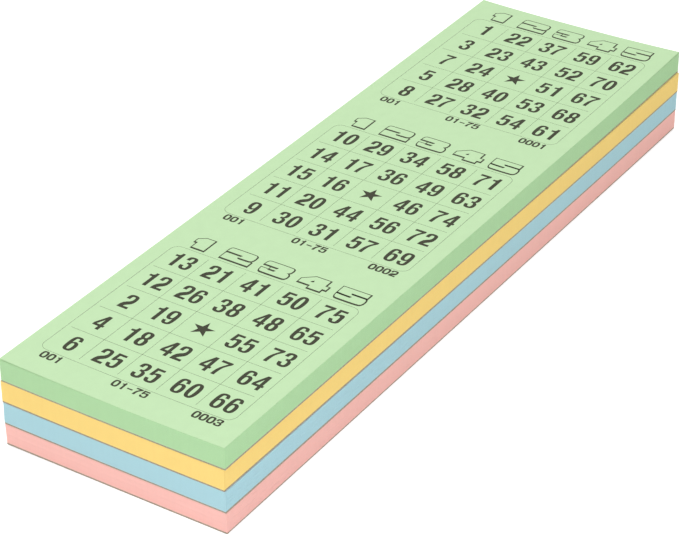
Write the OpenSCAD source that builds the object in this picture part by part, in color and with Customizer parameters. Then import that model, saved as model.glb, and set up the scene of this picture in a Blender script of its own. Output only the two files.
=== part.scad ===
// A stack of four tear-off game pads of coloured paper, lying one on another.
// Each pad is a block of loose sheets on a grey board, held along its head by a film of padding glue.
// X runs across the sheets, Y towards the glued head and Z up. The origin is at the centre of the
// stack's underside, and the top pad lies square to the axes.

/* [Sheets] */
// Width of a sheet
sheet_w = 85; // [60:1:150]
// Length of a sheet, from its free end to its glued head
sheet_l = 297; // [180:1:420]
// Thickness of one sheet of paper
sheet_t = 0.068; // [0.05:0.001:0.12]
// Air between the sheets of the top pad, which nothing presses
loose_air = 0.0082; // [0.004:0.0001:0.02]
// Air between the sheets of the bottom pad, which the others press
pressed_air = 0.0045; // [0.003:0.0001:0.02]
// Sheets in a quarter of a pad
sheets_per_quarter = 25; // [10:1:25]

/* [Backing board] */
// Thickness of the grey board under each pad
board_t = 0.6; // [0.4:0.1:2]

/* [Head binding] */
// Thickness of the film of padding glue brushed on a pad's head
glue_t = 0.3; // [0.15:0.05:0.8]
// Radius of the film's long outer edges, where the glue draws back as it dries
glue_edge_r = 0.2; // [0.05:0.05:0.3]

/* [Stack] */
// Air left between a pad's board and the sheet that it lies on
pad_air = 0.01; // [0.005:0.005:0.1]
// Turn of the yellow pad as it was laid down, in degrees
yellow_twist = -0.2; // [-1:0.05:1]
// Turn of the blue pad as it was laid down, in degrees
blue_twist = -0.1; // [-1:0.05:1]
// Turn of the pink pad as it was laid down, in degrees
pink_twist = -0.05; // [-1:0.05:1]

/* [Hidden] */
pads = ["green", "yellow", "blue", "pink"];
paper_colours = [[0.77, 0.91, 0.71], [0.98, 0.86, 0.52], [0.68, 0.85, 0.88], [0.98, 0.75, 0.71]];
twists = [0, yellow_twist, blue_twist, pink_twist];
quarters = ["first", "second", "third", "last"];
bottom_pad = len(pads) - 1;
sheets_per_pad = sheets_per_quarter * len(quarters);
pad_l = sheet_l + glue_t;
head_y = pad_l / 2 - glue_t;
free_end_y = head_y - sheet_l;
film_round = min(glue_edge_r, glue_t);
curve_fn = 32;

// Pads are counted from the top of the stack. The lower a pad lies, the less air its sheets hold.
function sheet_pitch(pad) = sheet_t + loose_air + (pressed_air - loose_air) * pad / bottom_pad;
function pad_h(pad) = board_t + sheets_per_pad * sheet_pitch(pad);
function pad_floor(pad) = pad == bottom_pad ? 0 : pad_floor(pad + 1) + pad_h(pad + 1) + pad_air;

// Puts a pad's pieces at their level in the stack, turned as the pad lies.
module in_stack(pad) {
    translate([0, 0, pad_floor(pad)]) rotate([0, 0, twists[pad]]) children();
}

// One leaf of paper or board of the trimmed size, with its underside at height z.
module leaf(z, thickness) {
    translate([-sheet_w / 2, free_end_y, z]) cube([sheet_w, sheet_l, thickness]);
}

// Sheets are counted from the top of the pad, and sheet 0 is the one that is torn off first.
module sheets(pad, from, to) {
    color(paper_colours[pad]) in_stack(pad)
        for (sheet = [from : to]) leaf(pad_h(pad) - sheet * sheet_pitch(pad) - sheet_t, sheet_t);
}

module top_sheet(pad) {
    sheets(pad, 0, 0);
}

// The first quarter lacks the top sheet, which is a piece of its own.
module quarter_of_sheets(pad, quarter) {
    sheets(pad, max(quarter * sheets_per_quarter, 1), (quarter + 1) * sheets_per_quarter - 1);
}

module backing_board(pad) {
    color("darkgray") in_stack(pad) leaf(0, board_t);
}

// The film's section across the head: flat on the sheets, with its two outer edges drawn round.
module glue_section(film_h) {
    intersection() {
        square([glue_t, film_h]);
        union() {
            square([glue_t - film_round, film_h]);
            translate([0, film_round]) square([glue_t, film_h - 2 * film_round]);
            for (edge_z = [film_round, film_h - film_round])
                translate([glue_t - film_round, edge_z]) circle(r = film_round, $fn = curve_fn);
        }
    }
}

module glue_binding(pad) {
    color("whitesmoke") in_stack(pad) translate([-sheet_w / 2, head_y, 0])
        rotate([90, 0, 90]) linear_extrude(height = sheet_w) glue_section(pad_h(pad));
}

for (pad = [0 : len(pads) - 1]) {
    top_sheet(pad);
    for (quarter = [0 : len(quarters) - 1])
        quarter_of_sheets(pad, quarter);
    backing_board(pad);
    glue_binding(pad);
}
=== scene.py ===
"""The looks of a stack of four tear-off game pads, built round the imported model.

All lengths are in metres. X runs across the sheets, Y towards the glued head and Z up.
"""

import math

import bpy
import numpy as np
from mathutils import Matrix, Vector
from mathutils.geometry import tessellate_polygon


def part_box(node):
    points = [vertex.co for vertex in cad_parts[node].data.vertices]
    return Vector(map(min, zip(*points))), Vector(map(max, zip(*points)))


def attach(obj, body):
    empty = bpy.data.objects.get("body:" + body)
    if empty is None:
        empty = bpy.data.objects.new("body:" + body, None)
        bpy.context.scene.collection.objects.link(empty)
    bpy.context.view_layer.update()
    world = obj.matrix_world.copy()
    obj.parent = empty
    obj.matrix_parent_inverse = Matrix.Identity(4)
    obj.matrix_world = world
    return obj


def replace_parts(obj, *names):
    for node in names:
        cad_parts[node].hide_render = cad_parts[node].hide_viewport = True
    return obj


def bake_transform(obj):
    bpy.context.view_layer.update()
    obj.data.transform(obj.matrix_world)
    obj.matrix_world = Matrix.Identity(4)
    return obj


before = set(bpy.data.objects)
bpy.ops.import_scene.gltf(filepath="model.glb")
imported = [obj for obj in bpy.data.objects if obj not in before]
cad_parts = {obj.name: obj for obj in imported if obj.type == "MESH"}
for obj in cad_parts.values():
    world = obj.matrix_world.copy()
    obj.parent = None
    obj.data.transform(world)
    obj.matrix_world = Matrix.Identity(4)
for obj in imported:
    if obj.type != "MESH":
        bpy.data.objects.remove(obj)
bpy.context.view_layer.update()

# Backing boards
# Every pad lies on a greyboard of pulped waste paper, cut by the same stroke of the guillotine as
# its sheets. The blade leaves a fibrous edge whose two arrises are very slightly crushed. The corners
# of the whole stack have curled, so the boards are bent too.
mm = 0.001
pads = ["green", "yellow", "blue", "pink"]
draws = np.random.default_rng(20)
board_colour = (166, 155, 135)
board_arris = 0.06 * mm
board_fray = 0.02 * mm
board_step = 3 * mm
pulp_fibre = (0.9 * mm, 0.9 * mm, 0.12 * mm)
pulp_relief = 0.03 * mm
darkest_pulp, palest_pulp = 0.84, 1.14
middle_third = (0.33, 0.67)
sheets_per_pad = 100
stack_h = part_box("green_top_sheet")[1].z
dish = 0.18 * mm
curl_at_floor = 0.3
sprung_share = 0.3
sprung_sheets = 1.0
# A curled corner: its side across, its side along, its rise, and its reach across and along
curls = [
    (0, 0, 1.10 * mm, 62 * mm, 230 * mm),
    (1, 0, 0.20 * mm, 22 * mm, 70 * mm),
    (0, 1, 0.50 * mm, 32 * mm, 190 * mm),
    (1, 1, 1.05 * mm, 52 * mm, 68 * mm),
]


def linear(srgb):
    """The linear colour, with an alpha of 1, of a colour written as three sRGB values from 0 to 255."""
    share = np.array(srgb) / 255
    return (*np.where(share <= 0.04045, share / 12.92, ((share + 0.055) / 1.055) ** 2.4), 1.0)


def tone(srgb, share):
    """The linear colour of an sRGB one made lighter or darker by a share."""
    return linear([min(255, value * share) for value in srgb])


def node_points(node):
    """The vertices of a CAD node as an array of rows x, y, z."""
    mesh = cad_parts[node].data
    points = np.zeros(len(mesh.vertices) * 3, np.float32)
    mesh.vertices.foreach_get("co", points)
    return points.reshape(-1, 3).astype(float)


def lie_of(pad):
    """How a pad lies: the left corner of its free end, and the full steps across and along its sheets."""
    points = node_points(f"{pad}_backing_board")[:, :2]
    corner = points[np.argmin(points.sum(1))]
    right = points[np.argmax(points[:, 0] - points[:, 1])]
    head = points[np.argmin(points[:, 0] - points[:, 1])]
    return corner, right - corner, head - corner


pad_lies = {pad: lie_of(pad) for pad in pads}
sheet_w, sheet_l = np.linalg.norm(pad_lies["green"][1:], axis=1)


def on_pad(pad, across, along, height):
    """Points of a pad, from shares of the way across and along its sheets and a height."""
    corner, step_across, step_along = pad_lies[pad]
    across, along, height = np.broadcast_arrays(across, along, height)
    flat = corner + across[..., None] * step_across + along[..., None] * step_along
    return np.concatenate([flat, height[..., None]], -1)


def grid_quads(rows, columns, closed=False):
    """Corner numbers of the quads of a grid of points that is numbered row by row. Closed rows meet."""
    row, column = np.mgrid[0 : rows - 1, 0 : columns if closed else columns - 1]
    here, beside = row * columns + column, row * columns + (column + 1) % columns
    return np.stack([here, beside, beside + columns, here + columns], -1).reshape(-1, 4)


def turned_down(quads):
    """Quads seen from the other side. They start at the same corner, so they split along the same diagonal
    as those they were made from, and two curled layers with the same grid don't cut into each other."""
    return quads[:, [0, 3, 2, 1]]


def piece(name, points, faces, materials):
    """A mesh object from an array of points and a list of faces, with the given materials."""
    mesh = bpy.data.meshes.new(name)
    mesh.from_pydata(points.reshape(-1, 3).tolist(), [], faces)
    for material in materials:
        mesh.materials.append(material)
    made = bpy.data.objects.new(name, mesh)
    bpy.context.scene.collection.objects.link(made)
    return made


def new_finish(name, roughness, specular):
    """A new node material: itself, its nodes, the function that links two sockets, and its shader."""
    material = bpy.data.materials.new(name)
    material.use_nodes = True
    shader = material.node_tree.nodes["Principled BSDF"]
    shader.inputs["Roughness"].default_value = roughness
    shader.inputs["Specular IOR Level"].default_value = specular
    return material, material.node_tree.nodes, material.node_tree.links.new, shader


def grain(nodes, link, size, detail):
    """Noise on Object coordinates whose grain has the given size along each axis."""
    place, noise = nodes.new("ShaderNodeMapping"), nodes.new("ShaderNodeTexNoise")
    place.inputs["Scale"].default_value = [1 / length for length in size]
    noise.inputs["Scale"].default_value = 1.0
    noise.inputs["Detail"].default_value = detail
    link(nodes.new("ShaderNodeTexCoord").outputs["Object"], place.inputs["Vector"])
    link(place.outputs["Vector"], noise.inputs["Vector"])
    return noise.outputs["Fac"]


def shaded(nodes, link, noise, low, high):
    """A colour that goes from low to high through the middle third of a noise."""
    ramp = nodes.new("ShaderNodeValToRGB")
    start, end = ramp.color_ramp.elements
    start.position, end.position = middle_third
    start.color, end.color = low, high
    link(noise, ramp.inputs["Fac"])
    return ramp.outputs["Color"]


def bumps(nodes, link, noise, height, shader):
    """Gives the shader bumps of a noise, with that height from the lowest to the highest."""
    bump = nodes.new("ShaderNodeBump")
    bump.inputs["Distance"].default_value = height
    link(noise, bump.inputs["Height"])
    link(bump.outputs["Normal"], shader.inputs["Normal"])


def greyboard():
    """Grey-brown pulp with darker and paler fibres that lie flat in the board."""
    material, nodes, link, shader = new_finish("greyboard", roughness=0.95, specular=0.1)
    fibres = grain(nodes, link, pulp_fibre, detail=6)
    dark, pale = tone(board_colour, darkest_pulp), tone(board_colour, palest_pulp)
    link(shaded(nodes, link, fibres, dark, pale), shader.inputs["Base Color"])
    bumps(nodes, link, fibres, pulp_relief, shader)
    return material


def bending(distance, reach):
    """1 at no distance, falling to 0 at the reach along a parabola, as paper with an even bend does."""
    return np.clip(1 - distance / reach, 0, 1) ** 2


def lift(across, along, height, sheets_above):
    """How far a point of the stack stands off flat. The soft dish fades evenly down to the floor, and so do
    the curls, of which a part is left there. The curls of the uppermost sheets have also sprung open."""
    up = height / stack_h
    settled = curl_at_floor + (1 - curl_at_floor) * up
    fan = (1 - sprung_share) * settled + sprung_share * np.exp(-sheets_above / sprung_sheets)
    curl = 0
    for side, end, rise, reach_across, reach_along in curls:
        bent_across = bending(np.abs(across - side) * sheet_w, reach_across)
        curl = curl + rise * bent_across * bending(np.abs(along - end) * sheet_l, reach_along)
    return curl * fan - dish * up


def rim_of(rows, columns):
    """The numbers of the points round the rim of a grid, wound leftwards."""
    numbers = np.arange(rows * columns).reshape(rows, columns)
    return np.concatenate([numbers[0, :-1], numbers[:-1, -1], numbers[-1, :0:-1], numbers[:0:-1, 0]])


def band(lower, upper):
    """The faces between two rings of points, seen from outside."""
    return np.stack([lower, np.roll(lower, -1), np.roll(upper, -1), upper], -1)


def board_shape(pad):
    """The points and faces of a board: a grid, two rings round it and a grid on top. The grids lie in from
    the cut by the crushed arris, and every ring by a random fray of the fibres."""
    low, high = (corner.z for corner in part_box(f"{pad}_backing_board"))
    steps_along, steps_across = round(sheet_l / board_step), round(sheet_w / board_step)
    ticks_along, ticks_across = np.linspace(0, 1, steps_along + 1), np.linspace(0, 1, steps_across + 1)
    along, across = (ticks.ravel() for ticks in np.meshgrid(ticks_along, ticks_across, indexing="ij"))
    into_width = np.where(across == 0, 1, 0) - np.where(across == 1, 1, 0)
    into_length = np.where(along == 0, 1, 0) - np.where(along == 1, 1, 0)
    everywhere, rim = np.arange(len(across)), rim_of(steps_along + 1, steps_across + 1)
    sheets_above = (pads.index(pad) + 1) * sheets_per_pad
    points, rings, count = [], [], 0
    for height, arris, kept in (
        (low, board_arris, everywhere),
        (low + board_arris, 0, rim),
        (high - board_arris, 0, rim),
        (high, board_arris, everywhere),
    ):
        inset = arris + board_fray * draws.random(len(kept))
        in_across = across[kept] + inset * into_width[kept] / sheet_w
        in_along = along[kept] + inset * into_length[kept] / sheet_l
        level = height + lift(in_across, in_along, height, sheets_above)
        points.append(on_pad(pad, in_across, in_along, level))
        rings.append(count + (rim if kept is everywhere else np.arange(len(rim))))
        count += len(kept)
    quads = grid_quads(steps_along + 1, steps_across + 1)
    bands = [band(lower, upper) for lower, upper in zip(rings[:-1], rings[1:])]
    faces = np.concatenate([turned_down(quads), quads + count - len(everywhere), *bands])
    return np.concatenate(points), faces.tolist()


greyboard_finish = greyboard()
for pad in pads:
    points, faces = board_shape(pad)
    board = piece(f"{pad}_board", points, faces, [greyboard_finish])
    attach(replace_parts(board, f"{pad}_backing_board"), f"{pad}_pad")

# Sheets of a pad
# A hundred leaves of thin coloured offset paper lie on each board, cut flush at the head and glued
# there. Handling has turned each leaf a hair about its glued head.
paper_colours = {
    "green": (201, 233, 185),
    "yellow": (252, 231, 150),
    "blue": (196, 227, 236),
    "pink": (250, 208, 200),
}
cut_colours = {
    "green": (181, 221, 168),
    "yellow": (255, 221, 133),
    "blue": (177, 217, 223),
    "pink": (254, 198, 187),
}
quarters = ["first", "second", "third", "last"]
paper_cloud = (3.5 * mm, 4.5 * mm, 3.5 * mm)
paper_fibre = (0.16 * mm, 0.3 * mm, 0.16 * mm)
paper_tooth = 0.006 * mm
palest_cloud = 1.01
fibre_shade = (0.975, 0.975, 0.97, 1)
white = (1, 1, 1, 1)
blade_mark = (1.1 * mm, 1.1 * mm, 14 * mm)
darkest_mark, palest_mark = 0.995, 1.005
level_digits = 7
leaf_turn = 0.01 * mm
leaf_trim = 0.006 * mm
pad_lean = 0.07 * mm
smooth_below = math.radians(40)
coarse_across = np.array([0, 0.1, 0.2, 0.34, 0.52, 0.7, 0.86, 1])
coarse_along = np.array([0, 0.07, 0.16, 0.3, 0.5, 0.7, 0.84, 0.93, 1])


def leaf_levels(node):
    """The lower and upper height of each leaf of a CAD node, from the top one down."""
    return np.unique(np.round(node_points(node)[:, 2], level_digits)).reshape(-1, 2)[::-1]


def slow_drift():
    """A pad's lean: a slow wave down through its sheets."""
    return pad_lean * np.sin(np.linspace(*draws.uniform(0, 2 * math.pi, 2), sheets_per_pad))


slips = {
    pad: [slow_drift() + draws.normal(0, spread, sheets_per_pad) for spread in (leaf_turn, leaf_trim)]
    for pad in pads
}


def on_sheet(pad, sheet, across, along, level):
    """Points on a sheet at a level. Each sheet has slipped across and along, most at its free end and not
    at all at its glued head."""
    slip_across, slip_along = slips[pad]
    loose = 1 - along
    shifted_across = across + slip_across[sheet] * loose / sheet_w
    shifted_along = along + slip_along[sheet] * loose / sheet_l
    sheets_above = pads.index(pad) * sheets_per_pad + sheet
    return on_pad(pad, shifted_across, shifted_along, level + lift(across, along, level, sheets_above))


def leaf_quads(rows, columns):
    """The closed faces of one leaf of two grids, the lower one first, and which of them are cut edges."""
    face, rim, upper = grid_quads(rows, columns), rim_of(rows, columns), rows * columns
    quads = np.concatenate([turned_down(face), face + upper, band(rim, rim + upper)])
    return quads, np.arange(len(quads)) >= 2 * len(face)


def leaves(name, pad, first_sheet, levels, across, along):
    """A group of leaves as closed thin grids over shares across and along the sheet."""
    sheets = (first_sheet + np.arange(len(levels)))[:, None, None, None]
    grid_along, grid_across = np.meshgrid(along, across, indexing="ij")
    points = on_sheet(pad, sheets, grid_across, grid_along, levels[:, :, None, None])
    quads, cut = leaf_quads(len(along), len(across))
    starts = 2 * len(along) * len(across) * np.arange(len(levels))
    faces = (quads + starts[:, None, None]).reshape(-1, 4).tolist()
    made = piece(name, points, faces, paper_finishes[pad])
    made.data.polygons.foreach_set("material_index", np.tile(cut, len(levels)).astype(np.int32))
    made.data.polygons.foreach_set("use_smooth", ~np.tile(cut, len(levels)))
    made.data.set_sharp_from_angle(angle=smooth_below)
    return made


def paper(pad):
    """Uncoated paper: a cloudy formation a few millimetres wide, and fine fibres that give it its tooth."""
    material, nodes, link, shader = new_finish(f"{pad}_paper", roughness=0.88, specular=0.15)
    clouds = grain(nodes, link, paper_cloud, detail=3)
    fibres = grain(nodes, link, paper_fibre, detail=5)
    both = nodes.new("ShaderNodeMix")
    both.data_type, both.blend_type = "RGBA", "MULTIPLY"
    both.inputs["Factor"].default_value = 1.0
    plain, pale = linear(paper_colours[pad]), tone(paper_colours[pad], palest_cloud)
    link(shaded(nodes, link, clouds, plain, pale), both.inputs["A"])
    link(shaded(nodes, link, fibres, fibre_shade, white), both.inputs["B"])
    link(both.outputs["Result"], shader.inputs["Base Color"])
    bumps(nodes, link, fibres, paper_tooth, shader)
    return material


def cut_edge(pad):
    """The guillotined edge of the sheets, with the faint upright marks that the blade leaves on a block."""
    material, nodes, link, shader = new_finish(f"{pad}_cut_edge", roughness=0.9, specular=0.1)
    marks = grain(nodes, link, blade_mark, detail=4)
    dark, pale = tone(cut_colours[pad], darkest_mark), tone(cut_colours[pad], palest_mark)
    link(shaded(nodes, link, marks, dark, pale), shader.inputs["Base Color"])
    return material


paper_finishes = {pad: [paper(pad), cut_edge(pad)] for pad in pads}
for pad in pads:
    sheet = 1
    for quarter in quarters:
        node = f"{pad}_sheets_{quarter}_quarter"
        levels = leaf_levels(node)
        # The second green sheet comes with the top sheets, because its print shows when the first is turned
        apart = 1 if pad == pads[0] and sheet == 1 else 0
        name = f"{pad}_{quarter}_quarter"
        group = leaves(name, pad, sheet + apart, levels[apart:], coarse_across, coarse_along)
        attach(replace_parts(group, node), f"{pad}_pad")
        sheet += len(levels)

# Top sheets
# The uppermost leaf of each pad is the next to be torn off. The green one is drawn with close lines across
# the last few millimetres at its glued head, where the paper would bend if it were turned over.
bend_length = 5 * mm
bend_start = 1 - bend_length / sheet_l
lines_across, lines_before_bend, lines_in_bend = 21, 72, 11
fine_across = np.linspace(0, 1, lines_across)
before_bend = np.linspace(0, bend_start, lines_before_bend)
fine_along = np.concatenate([before_bend, np.linspace(bend_start, 1, lines_in_bend)[1:]])
for pad in pads:
    node = f"{pad}_top_sheet"
    top = leaves(f"{pad}_first_sheet", pad, 0, leaf_levels(node), fine_across, fine_along)
    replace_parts(top, node)
    if pad == pads[0]:
        bend = on_pad(pad, 0.5, np.array([1, bend_start]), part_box(node)[1].z)
        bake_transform(top)
    else:
        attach(top, f"{pad}_pad")
first_quarter = "green_sheets_first_quarter"
second_level = leaf_levels(first_quarter)[:1]
second = leaves("green_second_sheet", "green", 1, second_level, fine_across, fine_along)
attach(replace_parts(second, first_quarter), "green_pad")

# Printing
# Each sheet is a strip of three number cards, printed in one dull black ink: a thin frame and grid,
# bold condensed figures, a row of outlined block figures above and small wide figures below.
ink_colour = (58, 60, 43)
ink_speck = (0.25 * mm, 0.25 * mm, 0.25 * mm)
fullest_ink, thinnest_ink = 0.9, 1.15
ink_proud = 0.012 * mm
cards = 3
cells = 5
card_heads = (-0.3 * mm, 99.15 * mm, 197.8 * mm)
frame_left, frame_right = 5.85 * mm, 79.1 * mm
frame_top, frame_bottom = -14.8 * mm, -87.1 * mm
frame_round = 3 * mm
round_points = 6
cell_w, cell_h = 14.8 * mm, 14.47 * mm
first_upright, first_level = 20.4 * mm, -29.2 * mm
line_w = 0.1 * mm
line_gap = 1.6 * mm
longest_step = 4 * mm
number_columns = (13.75 * mm, 28.05 * mm, 42.7 * mm, 57.6 * mm, 72.25 * mm)
first_baseline = -26.1 * mm
number_h = 8.2 * mm
number_pitch = 61
heading_h = 6.9 * mm
heading_stretch = 1.05
heading_baseline = -12.8 * mm
heading_columns = (12.9 * mm, 27.8 * mm, 42.7 * mm, 57.6 * mm, 72.0 * mm)
heading_thin, heading_right, heading_foot = 0.33 * mm, 0.6 * mm, 0.85 * mm
star_points = 5
star_r = 4.2 * mm
star_waist_share = 0.382
small_h = 3.4 * mm
small_pitch = 80
small_bold = 2.5
small_baseline = -91.2 * mm
small_columns = (12.8 * mm, 43.25 * mm, 72.05 * mm)
numbers_per_column = 15
arc_steps = 3
least_turn = 0.2
# The width of a bold figure and the height of every figure in the outlines
figure_w, outline_h = 50, 100
# Outlines of the figures in hundredths of their height. "x,y" is a corner, and "x~y" draws the line
# towards itself, so that a run of such points makes a smooth bend. After the outer line come holes.
figure_outlines = {
    "0": ["50~76 38~100 12~100 0~76 0~24 12~0 38~0 50~24",
          "33~32 29~13 21~13 17~32 17~68 21~87 29~87 33~68"],
    "1": ["22,0 39,0 39,100 26,100 25~86 15~83 6,83 6,71 22,71"],
    "2": ["0,0 49,0 49,14 21,14 26~24 50~42 50~88 38~100 12~100 0~87 1,66 17,66 17~80 20~87 31~87 34~80 "
          "34~56 1~36"],
    "3": ["1,70 1~88 12~100 38~100 48~88 48~58 37,52 50~47 50~14 38~0 12~0 0~12 0,30 16,30 16~20 20~13 "
          "31~13 34~21 34~37 30~45 19,45 19,57 30~57 32~64 32~80 29~88 21~88 17~80 17,70"],
    "4": ["29,0 44,0 44,23 51,23 51,36 44,36 44,100 28,100 0,38 0,22.6 29,22.6", "29,36 13,36 29,73"],
    "5": ["6,98 46,98 46,85 19,85 17,63 24~69 50~70 50~36 50~13 38~0 12~0 1~12 0,28 16,28 17~20 20~12 "
          "31~12 34~20 34~48 30~56 20~56 17~49 16,47 2,47"],
    "6": ["48,73 47~87 39~100 13~100 0~84 0~16 12~0 38~0 50~14 50~50 39~65 21~65 16,57 16~78 20~88 31~88 "
          "33~80 32,73",
          "34~42 30~53 20~53 17~43 17~23 20~12 30~12 34~23"],
    "7": ["1,98 50,98 50,86 34~66 25~38 24,0 8,0 9~32 20~62 34,84 1,84"],
    "8": ["41,52 50~46 50~14 38~0 12~0 0~14 0~46 9,52 2~58 2~88 13~100 37~100 48~88 48~58",
          "33~36 29~46 21~46 17~36 17~22 21~12 29~12 33~22",
          "32~66 29~58 21~58 18~66 18~80 21~88 29~88 32~80"],
    "-": ["8,38 42,38 42,50 8,50"],
}
# The small figures are the same ones drawn wide: where their stems begin and end, and where those go
condensed_stems = (0, 17, 33, 50)
wide_stems = (0, 17, 53, 70)
single_stems = {
    "1": ((0, 22, 39, 50), (10, 32, 49, 60)),
    "4": ((0, 29, 44, 51), (0, 41, 58, 70)),
    "7": ((0, 8, 24, 50), (2, 12, 31, 70)),
}
# The block figures of the heading are drawn in the same words, but three times as wide
block_outlines = {
    "1": ["14,0 80,0 80,100 34,100 0,76 0,50 14,50"],
    "2": ["0,0 148,0 148,34 72,34 72,41 120~41 148~44 148~98 128~100 20~100 0~98 0,64 84,64 84,57 28~57 "
          "0~54 0~30"],
    "3": ["0,66 0~98 24~100 124~100 144~98 144~54 128,50 148~46 148~2 124~0 24~0 0~2 0,34 74,34 74,40 "
          "40,40 40,58 74,58 74,66"],
    "4": ["64,0 128,0 128,24 148,24 148,52 128,52 128,100 52,100 0,54 0,24 64,24", "64,52 48,52 64,68"],
    "5": ["0,100 142,100 142,68 62,68 62,61 120~61 148~58 148~4 120~0 24~0 0~4 0,36 76,36 76,42 20~42 "
          "0,46"],
}
# The numbers of the uppermost sheet, card by card from its head and row by row. 0 is the free cell.
first_sheet_numbers = [
    [[1, 22, 37, 59, 62], [3, 23, 43, 52, 70], [7, 24, 0, 51, 67],
     [5, 28, 40, 53, 68], [8, 27, 32, 54, 61]],
    [[10, 29, 34, 58, 71], [14, 17, 36, 49, 63], [15, 16, 0, 46, 74],
     [11, 20, 44, 56, 72], [9, 30, 31, 57, 69]],
    [[13, 21, 41, 50, 75], [12, 26, 38, 48, 65], [2, 19, 0, 55, 73],
     [4, 18, 42, 47, 64], [6, 25, 35, 60, 66]],
]


def drawn_numbers():
    """A strip of cards as a printer draws them: each column holds five of its own fifteen numbers."""
    strip = []
    for _ in range(cards):
        firsts = 1 + numbers_per_column * np.arange(cells)
        card = np.array([first + draws.choice(numbers_per_column, cells, False) for first in firsts]).T
        card[cells // 2, cells // 2] = 0
        strip.append(card)
    return strip


def outline(words):
    """The points of a closed outline. A bend is a quadratic arc towards its point, from the middle of the
    side before it to the middle of the side after it, or from or to the corner there."""
    bends = ["~" in word for word in words.split()]
    place = np.array([word.replace("~", ",").split(",") for word in words.split()], float)
    share = np.arange(1, arc_steps + 1)[:, None] / arc_steps
    points = []
    for i, here in enumerate(place):
        after = (i + 1) % len(place)
        if not bends[i]:
            points.append(here[None])
            continue
        start = (place[i - 1] + here) / 2 if bends[i - 1] else place[i - 1]
        end = (here + place[after]) / 2 if bends[after] else place[after]
        arc = (1 - share) ** 2 * start + 2 * share * (1 - share) * here + share**2 * end
        points.append(arc if bends[after] else arc[:-1])
    return np.concatenate(points)


def wound(loops):
    """The outlines of one shape, the outer one wound leftwards and the holes rightwards."""
    turned = []
    for loop in loops:
        x, y = loop.T
        leftwards = np.sum(x * np.roll(y, -1) - y * np.roll(x, -1)) > 0
        turned.append(loop if leftwards == (not turned) else loop[::-1])
    return turned


def solid(loops):
    """A flat shape from its outlines: its points, and the faces that close it between two layers of them,
    the lower layer numbered first."""
    flat = np.concatenate(loops)
    count = len(flat)
    cap = np.array(tessellate_polygon([[Vector((x, y, 0)) for x, y in loop] for loop in loops]))
    (ax, ay), (bx, by), (cx, cy) = (flat[cap[:, k]].T for k in range(3))
    downwards = (bx - ax) * (cy - ay) < (by - ay) * (cx - ax)
    cap[downwards] = cap[downwards, ::-1]
    faces = (cap + count).tolist() + cap[:, ::-1].tolist()
    first = 0
    for loop in loops:
        here = first + np.arange(len(loop))
        ahead = np.roll(here, -1)
        faces += np.stack([here, ahead, ahead + count, here + count], -1).tolist()
        first += len(loop)
    return flat, faces


def stroke(path, closed, thin, right=None, foot=None):
    """A line drawn on the right of a path, given as a solid is. Each side has its own width: thin, but more
    where it faces right or down, by the square of that share. Neighbouring sides meet where their outer
    edges cross, or halfway between them where they are nearly in line."""
    sides = np.roll(path, -1, 0) - path
    if not closed:
        sides[-1] = sides[-2]
    normals = np.stack([sides[:, 1], -sides[:, 0]], -1) / np.linalg.norm(sides, axis=1)[:, None]
    faces_right, faces_down = np.clip(normals * (1, -1), 0, 1).T ** 2
    widths = thin + ((right or thin) - thin) * faces_right + ((foot or thin) - thin) * faces_down
    before, widths_before = np.roll(normals, 1, 0), np.roll(widths, 1)
    if not closed:
        before[0], widths_before[0] = normals[0], widths[0]
    (x, y), (before_x, before_y) = normals.T, before.T
    turn = before_x * y - before_y * x
    bent = np.abs(turn) > least_turn
    crossing = np.stack([y * widths_before - before_y * widths, before_x * widths - x * widths_before], -1)
    crossing /= np.where(bent, turn, 1)[:, None]
    halfway = (normals + before) / 2 * ((widths + widths_before) / 2)[:, None]
    count = len(path)
    here = np.arange(count if closed else count - 1)[:, None]
    ahead = (here + 1) % count
    ring = np.array([0, 1, 3, 2]) * count
    around = np.roll(ring, -1)
    faces = np.stack([here + ring, ahead + ring, ahead + around, here + around], -1).reshape(-1, 4).tolist()
    if not closed:
        faces += [ring.tolist(), (ring + count - 1)[::-1].tolist()]
    return np.concatenate([path, path + np.where(bent[:, None], crossing, halfway)]), faces


def in_steps(path):
    """A path with points added along its long sides, so that it can follow the curl of the paper."""
    runs = []
    for start, end in zip(path[:-1], path[1:]):
        steps = max(1, round(float(np.linalg.norm(end - start)) / longest_step))
        runs.append(start + (end - start) * np.arange(steps)[:, None] / steps)
    return np.concatenate(runs + [path[-1:]])


def frame_path():
    """The card's frame, wound leftwards: a rectangle with a quarter circle at each corner."""
    runs = []
    corners = ((frame_right, frame_top), (frame_left, frame_top),
               (frame_left, frame_bottom), (frame_right, frame_bottom))
    for corner, (x, y) in enumerate(corners):
        angle = np.radians(90 * corner + np.linspace(0, 90, round_points))
        inward = frame_round * np.array([-1 if x == frame_right else 1, -1 if y == frame_top else 1])
        runs.append((x, y) + inward + frame_round * np.stack([np.cos(angle), np.sin(angle)], -1))
    path = np.concatenate(runs)
    return in_steps(np.concatenate([path, path[:1]]))[:-1]


def placed(shape, x, y, unit):
    """A shape in hundredths, at its place and size on the card."""
    return shape[0] * unit + (x, y), shape[1]


def widened(mark, loop):
    """The outline of a figure with its stems moved apart, with what lies between them stretched, and with
    its lines made a little bolder."""
    x, y = loop.T
    wide = np.stack([np.interp(x, *single_stems.get(mark, (condensed_stems, wide_stems))), y], -1)
    return stroke(wide, True, small_bold)[0][len(loop) :]


def row_of_figures(text, font, x, y, height, pitch):
    """A row of figures centred on x, with its baseline at y. The pitch is in hundredths of their height."""
    unit = height / outline_h
    width = max(font["0"][0][:, 0])
    first = -(pitch * (len(text) - 1) + width) / 2
    return [placed(font[mark], x + (first + i * pitch) * unit, y, unit) for i, mark in enumerate(text)]


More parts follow.
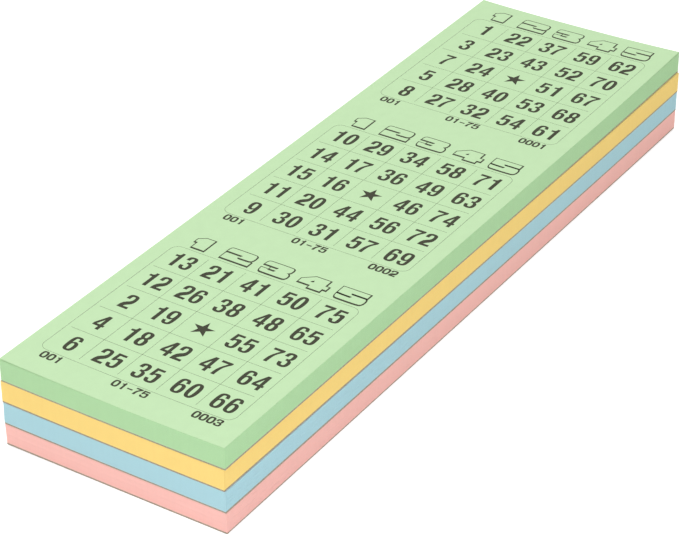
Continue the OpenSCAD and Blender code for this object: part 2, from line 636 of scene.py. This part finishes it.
def star(x, y):
    """A plain five-pointed star for the free cell."""
    corner = np.arange(2 * star_points)
    angle = np.radians(90 + 180 / star_points * corner)
    radius = star_r * np.where(corner % 2, star_waist_share, 1)
    return solid([np.stack([x + radius * np.cos(angle), y + radius * np.sin(angle)], -1)])


def card_shapes(numbers, sheet_count, card_count):
    """All that is printed on one card, with X from its left edge and Y up from its head edge."""
    shapes = [stroke(frame_path(), True, line_w)]
    for k in range(cells - 1):
        x, y = first_upright + k * cell_w, first_level - k * cell_h
        upright = np.array([(x, frame_bottom + line_gap), (x, frame_top - line_gap)])
        level = np.array([(frame_left + line_gap, y), (frame_right - line_gap, y)])
        shapes += [stroke(in_steps(path), False, line_w) for path in (upright, level)]
    for row, column in np.ndindex(cells, cells):
        x, y = number_columns[column], first_baseline - row * cell_h
        number = numbers[row][column]
        if number:
            shapes += row_of_figures(str(number), figures, x, y, number_h, number_pitch)
        else:
            shapes.append(star(x, y + number_h / 2))
    for x, loops in zip(heading_columns, blocks):
        middle = np.ptp(loops[0][:, 0]) / 2
        for loop in loops:
            centred = (loop - (middle, 0)) * (heading_stretch, 1) * heading_h / outline_h
            path = (x, heading_baseline) + centred
            shapes.append(stroke(path, True, heading_thin, heading_right, heading_foot))
    number_range = f"01-{cells * numbers_per_column}"
    for x, text in zip(small_columns, (f"{sheet_count:03d}", number_range, f"{card_count:04d}")):
        shapes += row_of_figures(text, small_figures, x, small_baseline, small_h, small_pitch)
    return shapes


def print_sheet(name, pad, sheet, level, strip, body):
    """The printing of one sheet: its shapes between a layer a hair inside the paper and one a hair above."""
    flats, layers, faces, count = [], [], [], 0
    for card, numbers in enumerate(strip):
        for flat, shape_faces in card_shapes(numbers, sheet + 1, sheet * cards + card + 1):
            flats += [flat - (0, card_heads[card])] * 2
            layers += [np.full(len(flat), side) for side in (-ink_proud, ink_proud)]
            faces += [[corner + count for corner in face] for face in shape_faces]
            count += 2 * len(flat)
    x, y = np.concatenate(flats).T
    points = on_sheet(pad, sheet, x / sheet_w, 1 + y / sheet_l, level + np.concatenate(layers))
    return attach(piece(name, points, faces, [ink_finish]), body)


def ink():
    """Dull black ink that has sunk into the paper, a little uneven in its cover."""
    material, nodes, link, shader = new_finish("print_ink", roughness=0.7, specular=0.25)
    cover = grain(nodes, link, ink_speck, detail=4)
    full, thin = tone(ink_colour, fullest_ink), tone(ink_colour, thinnest_ink)
    link(shaded(nodes, link, cover, full, thin), shader.inputs["Base Color"])
    return material


ink_finish = ink()
figure_loops = {
    mark: wound([outline(words) for words in loops]) for mark, loops in figure_outlines.items()
}
small_figures = {
    mark: solid([widened(mark, loop) for loop in loops]) for mark, loops in figure_loops.items()
}
# The 9 is the 6 turned round. None is printed small.
figure_loops["9"] = [np.array([figure_w, outline_h]) - loop for loop in figure_loops["6"]]
figures = {mark: solid(loops) for mark, loops in figure_loops.items()}
blocks = [wound([outline(words) for words in loops]) for loops in block_outlines.values()]
for pad in pads:
    strip = first_sheet_numbers if pad == pads[0] else drawn_numbers()
    body = "green_top_leaf" if pad == pads[0] else f"{pad}_pad"
    print_sheet(f"{pad}_first_print", pad, 0, leaf_levels(f"{pad}_top_sheet")[0, 1], strip, body)
print_sheet("green_second_print", "green", 1, second_level[0, 1], drawn_numbers(), "green_pad")

# Glue at the heads
# Padding compound is brushed over the heads of the sheets and their board and dries to a clear,
# rubbery film. It shows the brush's level streaks and draws back from its two long outer edges.
glue_colour = (238, 238, 228)
glue_milk = 0.3
glue_gap = 0.01 * mm
glue_waves = 0.07 * mm
wave_count = 8
most_waves_up, most_waves_along = 4, 3
brush_streak = (12 * mm, 1 * mm, 0.35 * mm)
streak_relief = 0.04 * mm
darkest_streak, palest_streak = 0.97, 1.02
glue_columns, glue_rows = 120, 25


def brush_waves():
    """Random waves from -1 to 1 on the film's grid: the mean of a few sines, whose numbers of waves up and
    along the head and whose starts are drawn."""
    up, along = np.mgrid[0 : 1 : glue_rows * 1j, 0 : 1 : glue_columns * 1j]
    waves = np.zeros(up.shape)
    for _ in range(wave_count):
        waves_up, waves_along, start = draws.uniform(0, (most_waves_up, most_waves_along, 2 * math.pi))
        waves += np.sin(2 * math.pi * (waves_up * up + waves_along * along) + start) / wave_count
    return waves


def glue_film(pad):
    """A closed film behind the head. Its thickness over the height is a circle's quarter at either long
    edge, flat between them, and wavers in long level streaks."""
    low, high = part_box(f"{pad}_glue_binding")
    corner, _, step_along = pad_lies[pad]
    behind_end = (node_points(f"{pad}_glue_binding")[:, :2] - corner) @ step_along / sheet_l
    tall, full = high.z - low.z, behind_end.max() - sheet_l
    share = (1 - np.cos(np.linspace(0, math.pi, glue_rows))) / 2
    across = np.linspace(0, 1, glue_columns)
    round_share = np.clip(np.minimum(share, 1 - share) * tall / full, 0, 1)
    profile = np.sqrt(1 - (1 - round_share) ** 2)[:, None] * full
    body = profile * (1 - glue_waves / full * (1 + brush_waves()) / 2)
    level = low.z + share[:, None] * tall
    sheets_above = (pads.index(pad) + 1 - share[:, None]) * sheets_per_pad
    height = level + lift(across, 1, level, sheets_above)
    return on_pad(pad, across, 1 + (glue_gap + body) / sheet_l, height).transpose(1, 0, 2)


def glue(pad):
    """Clear dried compound over the heads of the sheets: their own colour, a little milky, with a soft gloss
    and the streaks of the brush."""
    material, nodes, link, shader = new_finish(f"{pad}_glue", roughness=0.3, specular=0.5)
    seen = (1 - glue_milk) * np.array(cut_colours[pad]) + glue_milk * np.array(glue_colour)
    streaks = grain(nodes, link, brush_streak, detail=3)
    dark, pale = tone(seen, darkest_streak), tone(seen, palest_streak)
    link(shaded(nodes, link, streaks, dark, pale), shader.inputs["Base Color"])
    bumps(nodes, link, streaks, streak_relief, shader)
    return material


for pad in pads:
    points = glue_film(pad)
    sections, around = points.shape[:2]
    faces = grid_quads(sections, around, closed=True).tolist()
    faces += [list(range(around))[::-1], list(range((sections - 1) * around, sections * around))]
    film = piece(f"{pad}_glue", points, faces, [glue(pad)])
    film.data.shade_smooth()
    film.data.set_sharp_from_angle(angle=smooth_below)
    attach(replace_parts(film, f"{pad}_glue_binding"), f"{pad}_pad")

# Stage
# A white floor under a plain white sky. One soft box hangs over the stack, and two stand before its free
# end, the nearer one on the right, so that the light falls off along the right side.
floor_size = 6.0
floor_colour = (0.9, 0.9, 0.9, 1.0)
floor_glow = 0.5
sky_strength = 0.66
# A soft box: its name, place, size, power and colour
lamps = [
    ("top_box", (-0.45, 0.1, 1.0), 0.8, 3.4, (1, 1, 1)),
    ("key_box", (0.5, -0.5, 0.3), 0.3, 1.42, (0.97, 0.98, 1.1)),
    ("front_box", (-0.4, -1.15, 0.35), 0.6, 1.45, (1, 1, 1.05)),
]


def background_rays(nodes, link):
    """1 on the rays that show the background, else 0: the camera's own, and those off gloss or through a
    clear piece."""
    seen = nodes.new("ShaderNodeLightPath")
    shown = seen.outputs["Is Camera Ray"]
    for kind in ("Is Glossy Ray", "Is Transmission Ray"):
        either = nodes.new("ShaderNodeMath")
        either.operation = "MAXIMUM"
        link(shown, either.inputs[0])
        link(seen.outputs[kind], either.inputs[1])
        shown = either.outputs[0]
    return shown


def white_floor():
    """A white floor that looks white to the camera wherever the stack doesn't shade it."""
    half = floor_size / 2
    corners = np.array([(-half, -half, 0), (half, -half, 0), (half, half, 0), (-half, half, 0)])
    mesh = bpy.data.meshes.new("floor")
    mesh.from_pydata(corners.tolist(), [], [[0, 1, 2, 3]])
    floor = bpy.data.objects.new("floor", mesh)
    bpy.context.scene.collection.objects.link(floor)
    material, nodes, link, shader = new_finish("floor", roughness=1.0, specular=0.0)
    shader.inputs["Base Color"].default_value = floor_colour
    shader.inputs["Emission Color"].default_value = white
    glow = nodes.new("ShaderNodeMath")
    glow.operation = "MULTIPLY"
    glow.inputs[1].default_value = floor_glow
    link(background_rays(nodes, link), glow.inputs[0])
    link(glow.outputs[0], shader.inputs["Emission Strength"])
    mesh.materials.append(material)


def soft_box(name, place, size, power, colour):
    """A square lamp that faces the middle of the stack."""
    light = bpy.data.lights.new(name, "AREA")
    light.size, light.energy, light.color = size, power, colour
    lamp = bpy.data.objects.new(name, light)
    lamp.location = place
    lamp.rotation_euler = (-Vector(place)).to_track_quat("-Z", "Y").to_euler()
    bpy.context.scene.collection.objects.link(lamp)


white_floor()
for lamp in lamps:
    soft_box(*lamp)
scene = bpy.context.scene
scene.world = bpy.data.worlds.new("sky")
scene.world.use_nodes = True
sky_nodes, sky_link = scene.world.node_tree.nodes, scene.world.node_tree.links.new
sky = sky_nodes["Background"]
sky.inputs["Color"].default_value = white
strength = sky_nodes.new("ShaderNodeMix")
strength.inputs["A"].default_value, strength.inputs["B"].default_value = sky_strength, 1.0
sky_link(background_rays(sky_nodes, sky_link), strength.inputs["Factor"])
sky_link(strength.outputs["Result"], sky.inputs["Strength"])

# Camera
# The photograph's own view, from above the free end and the right side. The place, the turn in degrees
# and the lens were fitted to the straight edges of the stack.
camera_place = (403.096 * mm, -637.721 * mm, 476.007 * mm)
camera_turn = (57.854, 0.3443, 32.947)
camera_lens = 135.09
photo_camera = bpy.data.objects.new("photo_camera", bpy.data.cameras.new("photo_camera"))
photo_camera.location = camera_place
photo_camera.rotation_euler = [math.radians(angle) for angle in camera_turn]
photo_camera.data.lens = camera_lens
photo_camera.data.clip_start, photo_camera.data.clip_end = 0.01, 20
scene.collection.objects.link(photo_camera)
scene.camera = photo_camera
scene.view_settings.view_transform = "Standard"
